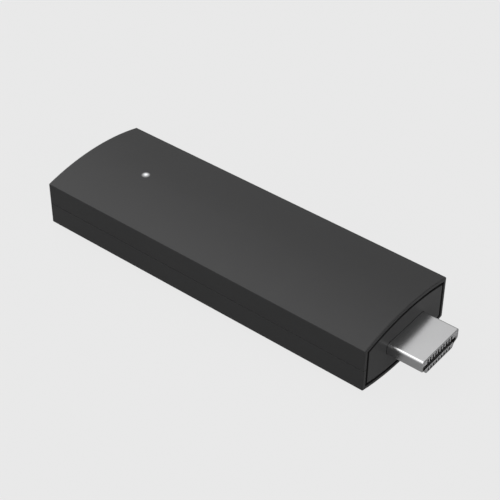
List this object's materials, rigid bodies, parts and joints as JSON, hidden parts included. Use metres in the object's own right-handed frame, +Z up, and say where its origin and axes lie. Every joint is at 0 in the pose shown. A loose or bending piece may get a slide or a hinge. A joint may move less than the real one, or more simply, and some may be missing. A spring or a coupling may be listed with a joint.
{
  "type": "streaming stick",
  "caption": "Slim crowned bar that plugs straight into a screen's video socket, with a status light on top and a power socket and a sprung reset button at the far end.",
  "frame": {"origin": "under the middle of the whole stick, plug included, level with the lowest line of its underside", "axes": "+X along the stick towards the tip of the plug, +Y across it, +Z up through the top face"},
  "size_m": [0.0994, 0.0304, 0.0151],
  "materials": {
    "housing": "fine matt moulded texture",
    "end_plate": "fine matt moulded texture",
    "light": "clear, lit white",
    "lamp": "phosphor",
    "board": "solder mask",
    "chip": "moulded",
    "ceramic": "fired ceramic",
    "resistor": "glazed",
    "coil": "pressed powder",
    "can": "tinned sheet",
    "pad": "soft",
    "spreader": "rolled",
    "plug_metal": "satin plated sheet",
    "plug_insulator": "moulded",
    "contact": "gold plated",
    "socket_metal": "plated sheet",
    "socket_insulator": "moulded",
    "screw": "plated",
    "button": "fine matt moulded texture",
    "switch": "moulded",
    "switch_metal": "plated sheet"
  },
  "bodies": {
    "stick": {"top_cover": "housing", "bottom_cover": "housing", "front_end_cap": "end_plate", "rear_end_cap": "end_plate", "light_pipe": "light", "status_led": "lamp", "main_board": "board", "board_screws": "screw", "processor_chip": "chip", "memory_chip": "chip", "flash_chip": "chip", "power_chip": "chip", "power_inductors": "coil", "crystal": "can", "capacitors": "ceramic", "resistors": "resistor", "shield_frame": "can", "shield_lid": "can", "chip_pad": "pad", "spreader_pad": "pad", "lower_pad": "pad", "heat_spreader": "spreader", "lower_spreader": "spreader", "wireless_board": "board", "wireless_can": "can", "antenna_left": "can", "antenna_right": "can", "hdmi_shell": "plug_metal", "hdmi_insulator": "plug_insulator", "hdmi_upper_contacts": "contact", "hdmi_lower_contacts": "contact", "usb_shell": "socket_metal", "usb_insulator": "socket_insulator", "usb_contacts": "contact", "switch_body": "switch", "switch_cover": "switch_metal", "switch_dome": "switch_metal", "switch_terminals": "contact"},
    "button": {"reset_button": "button", "switch_plunger": "switch"}
  },
  "joints": [
    {"name": "button_press", "type": "slide", "parent": "stick", "child": "button", "axis": [1, 0, 0], "range_m": [0, 0.00025], "stiffness_N_per_m": 400, "deforming": ["switch_dome"]}
  ]
}
